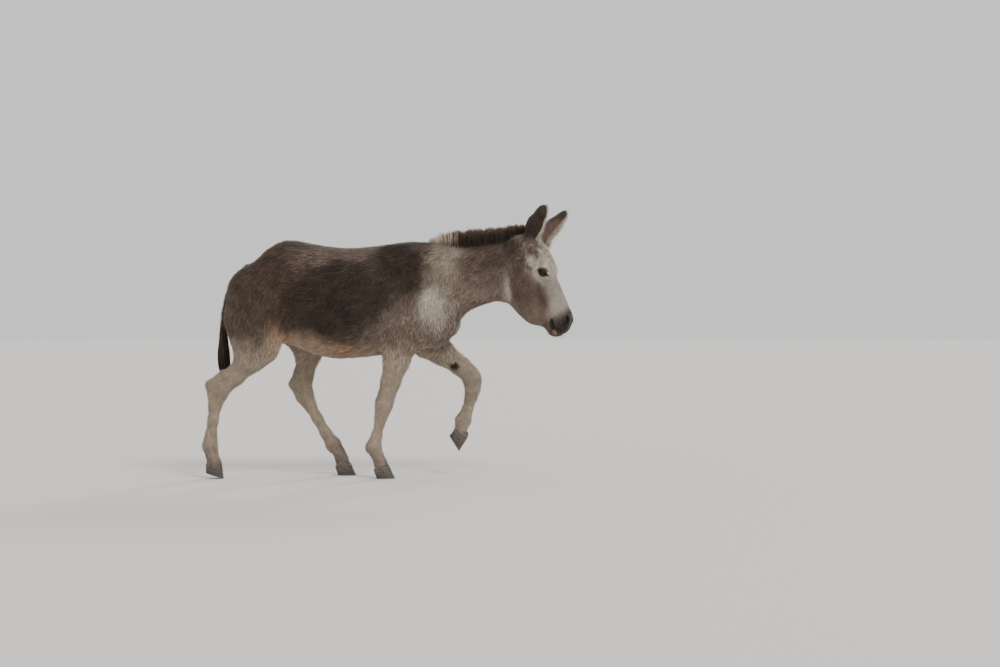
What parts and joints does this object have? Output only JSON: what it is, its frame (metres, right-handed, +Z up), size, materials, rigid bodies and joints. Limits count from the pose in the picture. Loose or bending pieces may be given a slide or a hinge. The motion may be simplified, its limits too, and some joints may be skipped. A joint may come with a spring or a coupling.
{
  "type": "donkey model",
  "caption": "Life-size still model of a grey donkey in mid-walk, with a shaggy coat, an upright dark mane, long ears, a tufted tail and separate hooves and eyes",
  "frame": {"origin": "on the floor, under the middle of the donkey's bounding box", "axes": "+X is the way the donkey walks, its longest extent; +Y is the donkey's left side; +Z is up, and the soles of the standing hooves are at z = 0"},
  "size_m": [1.8786, 0.4448, 1.3878],
  "materials": {
    "body_coat": "matte",
    "neck_coat": "matte",
    "head_coat": "matte",
    "muzzle_coat": "matte",
    "leg_coat": "matte",
    "horn": "satin",
    "eye": "glossy",
    "ear_coat": "matte",
    "mane_hair": "matte"
  },
  "bodies": {
    "root": {"trunk": "body_coat", "tail_dock": "body_coat", "neck": "neck_coat", "head": "head_coat", "muzzle": "muzzle_coat", "forearm_fore_right": "leg_coat", "cannon_fore_right": "leg_coat", "pastern_fore_right": "leg_coat", "hoof_fore_right": "horn", "forearm_fore_left": "leg_coat", "cannon_fore_left": "leg_coat", "pastern_fore_left": "leg_coat", "hoof_fore_left": "horn", "gaskin_hind_right": "leg_coat", "cannon_hind_right": "leg_coat", "pastern_hind_right": "leg_coat", "hoof_hind_right": "horn", "gaskin_hind_left": "leg_coat", "cannon_hind_left": "leg_coat", "pastern_hind_left": "leg_coat", "hoof_hind_left": "horn", "ear_left": "ear_coat", "ear_right": "ear_coat", "mane": "mane_hair", "tail_switch": "mane_hair", "eye_left": "eye", "eye_right": "eye"}
  },
  "joints": []
}
